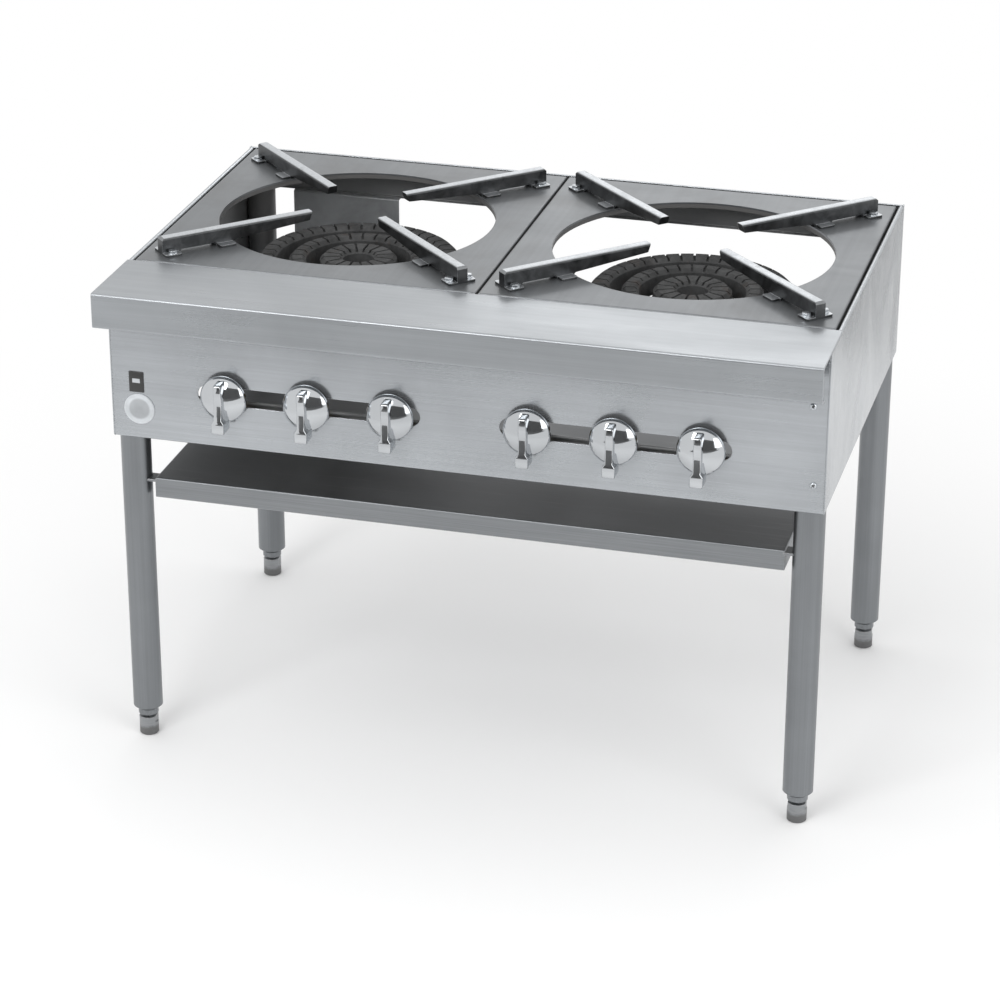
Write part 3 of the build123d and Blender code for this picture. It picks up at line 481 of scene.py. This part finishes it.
def prism(bm, outline, low, high, at, bevel=0.0):
    """Adds an upright prism of a plan outline, with rounded edges if asked."""
    bottom = [bm.verts.new(at @ Vector((x, y, low))) for x, y in outline]
    top = [bm.verts.new(at @ Vector((x, y, high))) for x, y in outline]
    faces = [bm.faces.new(bottom[::-1]), bm.faces.new(top)]
    for i in range(len(outline)):
        j = (i + 1) % len(outline)
        faces.append(bm.faces.new((bottom[i], bottom[j], top[j], top[i])))
    if bevel:
        edges = list({edge for face in faces for edge in face.edges})
        bmesh.ops.bevel(bm, geom=edges, offset=bevel, segments=2, affect="EDGES", profile=0.6)


def skin(bm, rings):
    """Joins rings of as many corners each by walls, and closes the first and the last one."""
    for one, two in zip(rings, rings[1:]):
        for i in range(len(one)):
            j = (i + 1) % len(one)
            bm.faces.new((one[i], one[j], two[j], two[i]))
    bm.faces.new(rings[0][::-1])
    bm.faces.new(rings[-1])


HEX_STEPS = 24
HEX_TOP = 0.93              # radius of the flat top, as a share of half the width across flats
HEX_FALL = 0.00015          # from the top to the middle of a flat's upper edge
HEX_SLOPE = 0.55            # its further fall towards a corner, for each unit outwards
THREAD_ROWS = 4             # rows of corners for each turn of a thread


def hex_head(bm, across, low, high, at):
    """A hexagon head with the turned chamfer that cuts its corners."""
    flat = across / 2
    angles = round_steps(HEX_STEPS)
    reaches = [flat / math.cos((a + math.pi / 6) % (math.pi / 3) - math.pi / 6) for a in angles]
    foot = [(reach, low) for reach in reaches]
    shoulder = [(reach, high - HEX_SLOPE * (reach - flat) - HEX_FALL) for reach in reaches]
    top = [(flat * HEX_TOP, high)] * HEX_STEPS
    skin(bm, [[bm.verts.new(at @ polar(radius, a, height)) for a, (radius, height) in zip(angles, ring)]
              for ring in (foot, shoulder, top)])


def threaded(bm, radius, low, high, pitch, depth, at, segments=20):
    """A screw thread as a wall whose radius follows the helix."""
    rows = int((high - low) / pitch * THREAD_ROWS)
    rings = []
    for row in range(rows + 1):
        height = low + (high - low) * row / rows
        ring = []
        for i, angle in enumerate(round_steps(segments)):
            phase = (height / pitch - i / segments) % 1.0
            reach = radius - depth * (1 - abs(2 * phase - 1))
            ring.append(bm.verts.new(at @ polar(reach, angle, height)))
        rings.append(ring)
    skin(bm, rings)


# ---- Knobs: heights are counted from the back, towards the cook --------------------------
KNOB_HOLLOW = [(0.0, 0.0118), (0.0100, 0.0108), (0.0190, 0.0076), (0.0250, 0.0042),
               (0.0272, 0.0020), (0.0275, 0.0)]
KNOB_LIP = 0.0296
KNOB_HUB = [(0.0, 0.0), (0.0078, 0.0), (0.0080, 0.0006), (0.0080, 0.0125)]
LEVER_BASE = 0.0042         # its rear, inside the dome and past the rim
LEVER_ROUND = 0.0016        # round along the edges of its face
LEVER_SECTIONS = (          # height on the knob, half width, rise of the face
    (0.0260, 0.0030, 0.0222),
    (0.0254, 0.0044, 0.0238),
    (0.0238, 0.0050, 0.0246),
    (0.0100, 0.0050, 0.0238),
    (0.0020, 0.0050, 0.0229),
    (-0.0030, 0.0050, 0.0231),
    (-0.0200, 0.0050, 0.0254),
    (-0.0238, 0.0077, 0.0258),
    (-0.0246, 0.0080, 0.0259),
    (-0.0360, 0.0080, 0.0260),
    (-0.0374, 0.0075, 0.0254),
    (-0.0380, 0.0062, 0.0240),
)


def arc(radius, middle, start, end, steps):
    """Points of an arc in (radius, height), its angles counted from the knob's axis."""
    angles = [start + (end - start) * i / steps for i in range(steps + 1)]
    return [(middle[0] + radius * math.sin(a), middle[1] + radius * math.cos(a)) for a in angles]


def crown():
    """Rounded shoulder from the skirt, and the spherical crown up to the axis."""
    ball = (KNOB_RADIUS ** 2 + KNOB_DOME ** 2) / (2 * KNOB_DOME)
    low = KNOB_RIM + KNOB_DOME - ball
    out = KNOB_RADIUS - KNOB_SHOULDER
    lean = math.asin(out / (ball - KNOB_SHOULDER))
    level = low + (ball - KNOB_SHOULDER) * math.cos(lean)
    shoulder = arc(KNOB_SHOULDER, (out, level), math.pi / 2, lean, steps=8)
    dome = arc(ball, (0.0, low), lean, 0.0, steps=14)
    return shoulder + dome[1:-1] + [(0.0, KNOB_RIM + KNOB_DOME)]


def lever(bm, at, steps=4):
    """Lever across the dome, as a row of cross-sections."""
    rings = []
    for up, half, rise in LEVER_SECTIONS:
        right = [(half, LEVER_BASE)]
        for i in range(steps + 1):
            a = math.pi / 2 * i / steps
            right.append((half - LEVER_ROUND * (1 - math.cos(a)),
                          rise - LEVER_ROUND * (1 - math.sin(a))))
        profile = right + [(-px, pz) for px, pz in reversed(right)]
        rings.append([bm.verts.new(at @ Vector((px, up, pz))) for px, pz in profile])
    skin(bm, rings)


def knob(number, x):
    """Chrome dome, and a lever whose squared tip hangs past the rim."""
    at = facing_front(x, KNOB_BACK, TAP_Z)
    bm = bmesh.new()
    turned(bm, KNOB_HOLLOW + [(KNOB_LIP, 0.0)] + crown(), at, segments=96)
    turned(bm, KNOB_HUB, at, segments=32)
    lever(bm, at)
    made = piece(f"knob_{number}_chrome", bm, f"control_{number}", "knob_chrome", smooth=50.0)
    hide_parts(f"knob_{number}")


for index, tap in enumerate(TAP_X, 1):
    knob(index, tap)


# ---- Bolts of the pan arms: heights are counted from the plate's top ---------------------
BOLT_WASHER = [(0.0, ARM_WALL), (0.0060, ARM_WALL), (0.0060, 0.0036), (0.0056, 0.0040), (0.0, 0.0040)]
BOLT_FLATS = 0.010
BOLT_HEAD = (0.0040, 0.0074)
BOLT_NUT = (-0.0058, -PLATE_SHEET)
BOLT_THREAD = (-0.0088, -PLATE_SHEET)
BOLT_RADIUS = 0.0030
BOLT_PITCH = 0.0010
BOLT_GROOVE = 0.0004


def arm_bolts(hand, side):
    """Bolts of one hob section: washer, head, nut and the thread's end, two for each arm."""
    hole = Matrix.Translation((side * HOLE[0], HOLE[1], HOB_Z))
    bm = bmesh.new()
    for degrees in (-45, 45, 135, -135):
        for across in (BOLT_ACROSS, -BOLT_ACROSS):
            at = hole @ turn_z(degrees) @ Matrix.Translation((ARM_OUTER - ARM_TAB / 2, across, 0))
            turned(bm, BOLT_WASHER, at, segments=28)
            hex_head(bm, BOLT_FLATS, *BOLT_HEAD, at)
            threaded(bm, BOLT_RADIUS, *BOLT_THREAD, BOLT_PITCH, BOLT_GROOVE, at)
            hex_head(bm, BOLT_FLATS, *BOLT_NUT, at)
    made = piece(f"arm_bolts_{hand}_fine", bm, f"hob_section_{hand}", "bolt_steel", smooth=30.0)
    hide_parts(f"arm_bolts_{hand}")


arm_bolts("left", -1)
arm_bolts("right", 1)


# ---- Small pieces on the control panel: heights are counted from its face ----------------
SCREWS = ((0.431, 0.566), (0.435, 0.465))           # x and z of each
SCREW_RADIUS = 0.0042
SLOT_REACH = SCREW_RADIUS * 0.55
SCREW_HEAD = [(SCREW_RADIUS, 0.0), (SCREW_RADIUS, 0.0006), (SCREW_RADIUS * 0.86, 0.0016),
              (SLOT_REACH, 0.0022), (0.0, 0.0024)]
SCREW_SLOT = rectangle(SLOT_REACH, -0.0005, 0.0005)
SLOT_RISE = (0.0018, 0.00252)
SLOT_TURNS = (35, 125)
DISC = [(0.0, 0.0), (0.0198, 0.0), (0.0200, 0.0003), (0.0199, 0.0010), (0.0190, 0.0013),
        (0.0178, 0.0013), (0.0172, 0.0009), (0.0, 0.0009)]
SMALL_PLATE_X = -0.4165
SMALL_PLATE_Z = 0.504
SMALL_PLATE = rectangle(0.0095, -0.0135, 0.0135)
SMALL_PLATE_RISE = (0.0, 0.0014)
PALE_BAR = rectangle(0.0050, -0.0010, 0.0046)
PALE_BAR_RISE = (0.0010, 0.0018)


def panel_screws():
    """Cross-head screws: their heads, and near black bars standing as painted shade in their recesses.
    """
    heads, slots = bmesh.new(), bmesh.new()
    for x, z in SCREWS:
        at = facing_front(x, PANEL_FACE, z)
        turned(heads, SCREW_HEAD, at, segments=28)
        for degrees in SLOT_TURNS:
            prism(slots, SCREW_SLOT, *SLOT_RISE, at @ turn_z(degrees))
    piece("panel_screws", heads, "range", "bolt_steel")
    # Painted shade: near black bars stand in the screws' cross recesses.
    piece("panel_screw_recess_shade", slots, "range", "bracket_steel", DARK_PLATE)


def round_plate():
    """Bare disc with a raised rim, in the place of a printed one."""
    bm = bmesh.new()
    turned(bm, DISC, facing_front(DISC_X, PANEL_FACE, DISC_Z), segments=72)
    piece("round_plate", bm, "range", "body_sheet", PALE_DISC)


def small_plate():
    """Bare dark plate with a pale bar."""
    at = facing_front(SMALL_PLATE_X, PANEL_FACE, SMALL_PLATE_Z)
    bm = bmesh.new()
    prism(bm, SMALL_PLATE, *SMALL_PLATE_RISE, at, bevel=0.0004)
    piece("dark_plate", bm, "range", "bracket_steel", DARK_PLATE)
    bm = bmesh.new()
    prism(bm, PALE_BAR, *PALE_BAR_RISE, at, bevel=0.0003)
    piece("dark_plate_centre", bm, "range", "body_sheet", PALE_PLATE)


panel_screws()
round_plate()
small_plate()


# ---- Gas inlet and governor --------------------------------------------------------------
INLET_RADIUS = 0.0138       # of the crests, which stand just out of the solid's plain end
INLET_THREAD = (-0.0188, -0.0004)    # along the inlet, from its open end
INLET_PITCH = 0.00181       # 14 turns to the inch
INLET_GROOVE = 0.0010
RIM_SCREWS = 8
RIM_CIRCLE = 0.0402
RIM_RISE = 0.0360           # top of the governor's rim, over the rail's centre line
RIM_SCREW_FLATS = 0.0055
RIM_SCREW_HEIGHT = 0.0028
CAP_FLATS = 0.017
CAP_DROP = 0.0004
CAP_HEX = (-0.0060, CAP_DROP)    # its top is level with the solid's


def inlet_thread():
    """Open wall of the thread, round the gas inlet's end at the rear."""
    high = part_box("gas_inlet")[1]
    at = Matrix.Translation((high.x - PIPE_RADIUS, high.y, RAIL_Z))
    bm = bmesh.new()
    threaded(bm, INLET_RADIUS, *INLET_THREAD, INLET_PITCH, INLET_GROOVE,
             at @ Matrix.Rotation(math.radians(-90), 4, "X"), segments=48)
    for face in [f for f in bm.faces if len(f.verts) > 4]:
        bm.faces.remove(face)
    piece("inlet_thread", bm, "range", "pipe_steel", smooth=60.0)


def governor_screws():
    """Screws round the governor's rim, and the hexagon cap on top."""
    low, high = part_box("gas_governor")
    middle = Vector(((low.x + high.x) / 2, (low.y + high.y) / 2, 0))
    bm = bmesh.new()
    for i in range(RIM_SCREWS):
        at = Matrix.Translation(middle) @ turn_z(360 / RIM_SCREWS * (i + 0.5))
        at = at @ Matrix.Translation((RIM_CIRCLE, 0, RAIL_Z + RIM_RISE))
        hex_head(bm, RIM_SCREW_FLATS, 0.0, RIM_SCREW_HEIGHT, at)
    cap = Matrix.Translation((middle.x, middle.y, high.z - CAP_DROP))
    hex_head(bm, CAP_FLATS, *CAP_HEX, cap)
    piece("governor_screws", bm, "range", "bolt_steel", smooth=30.0)


inlet_thread()
governor_screws()


# ---- Light, floor and camera -------------------------------------------------------------
WORLD_LIGHT = 0.95          # strength of the world as light on the object
WORLD_SEEN = 1.0            # its strength where it is seen: white
FLOOR_RADIUS = 14.0
FLOOR_FADE = (0.55, 1.5)    # it turns plain white between these distances from its middle
CARD_LEFT = -1.8            # the upright card stands behind the camera
CARD_RIGHT = 5.0
CARD_BACK = -5.0
CARD_TOP = 3.2
CARD_LIFT = 0.002           # height of the cards that lie on the floor
CAMERA_PLACE = (1.0117, -3.7695, 2.0596)
CAMERA_DIP = 0.4263         # radians under the horizon
CAMERA_ROLL = -0.0020
CAMERA_TURN = 0.2669
CAMERA_LENS = 118.56


def soft_light(name, spot, aim, size, power):
    data = bpy.data.lights.new(name, "AREA")
    data.shape = "RECTANGLE"
    data.size, data.size_y = size
    data.energy = power
    made = put(name, data)
    made.location = spot
    made.rotation_euler = (Vector(aim) - Vector(spot)).to_track_quat("-Z", "Y").to_euler()


def dark_card(name, corners):
    """A dark flag outside the camera's view, seen only in reflections."""
    mesh = bpy.data.meshes.new(name)
    mesh.from_pydata(corners, [], [(0, 1, 2, 3)])
    mesh.materials.append(DARK_CARD)
    made = put(name, mesh)
    made.visible_camera = made.visible_diffuse = made.visible_shadow = made.visible_transmission = False


def floor_card(name, plan):
    dark_card(name, [(x, y, CARD_LIFT) for x, y in plan])


def white_world():
    """Even white surroundings."""
    world = bpy.data.worlds.new("studio")
    bpy.context.scene.world = world
    world.use_nodes = True
    nodes = Nodes(world.node_tree)
    sky = nodes.tree.nodes["Background"].inputs
    sky["Color"].default_value = grey(1.0)
    strength = nodes.spread(nodes.background_rays(), 0.0, 1.0, WORLD_LIGHT, WORLD_SEEN)
    nodes.tree.links.new(strength, sky["Strength"])


def white_floor():
    """Pale floor that holds the object's shadow and fades into the white background."""
    mesh = bpy.data.meshes.new("floor")
    bm = bmesh.new()
    bmesh.ops.create_circle(bm, cap_ends=True, cap_tris=False, segments=96, radius=FLOOR_RADIUS)
    bm.to_mesh(mesh)
    bm.free()
    floor = put("floor", mesh)
    m = Material("floor_white", Base_Color=grey(0.93), Roughness=0.9, Specular_IOR_Level=0.1)
    far = m.spread(m.vector("LENGTH", {0: m.place}), *FLOOR_FADE, interpolation_type="SMOOTHSTEP")
    glow = m.node("ShaderNodeEmission", {"Strength": 1.0})
    blend = m.node("ShaderNodeMixShader", {0: m.times(far, m.background_rays()),
                                           1: m.shader.outputs[0], 2: glow.outputs[0]})
    m.tree.links.new(blend.outputs[0], m.tree.nodes["Material Output"].inputs["Surface"])
    mesh.materials.append(m.made)


def place_camera():
    lens = bpy.data.cameras.new("camera")
    lens.lens = CAMERA_LENS
    lens.clip_end = 60.0
    camera = put("camera", lens)
    camera.location = CAMERA_PLACE
    camera.rotation_euler = (math.radians(90) - CAMERA_DIP, CAMERA_ROLL, CAMERA_TURN)
    bpy.context.scene.camera = camera
    bpy.context.scene.view_settings.view_transform = "Standard"


soft_light("key", (-0.9, -2.7, 2.3), aim=(0.0, 0.0, 0.45), size=(1.6, 1.2), power=34)
soft_light("fill", (2.6, -1.9, 1.4), aim=(0.1, 0.0, 0.4), size=(1.6, 1.6), power=19)
soft_light("rear", (-0.3, 3.4, 2.25), aim=(0.25, -0.23, 0.636), size=(1.4, 0.35), power=5)

DARK_CARD = Material("dark_card", Base_Color=grey(0.12), Roughness=1.0).made
dark_card("camera_card", [(CARD_LEFT, CARD_BACK, 0.0), (CARD_RIGHT, CARD_BACK, 0.0),
                          (CARD_RIGHT, CARD_BACK, CARD_TOP), (CARD_LEFT, CARD_BACK, CARD_TOP)])
floor_card("floor_card", [(CARD_LEFT, CARD_BACK), (CARD_RIGHT, CARD_BACK),
                          (CARD_RIGHT, -3.70), (-0.95, -1.75)])
floor_card("side_card", [(0.75, 1.35), (3.5, 1.35), (4.0, 6.0), (1.2, 6.0)])
white_world()
white_floor()
place_camera()
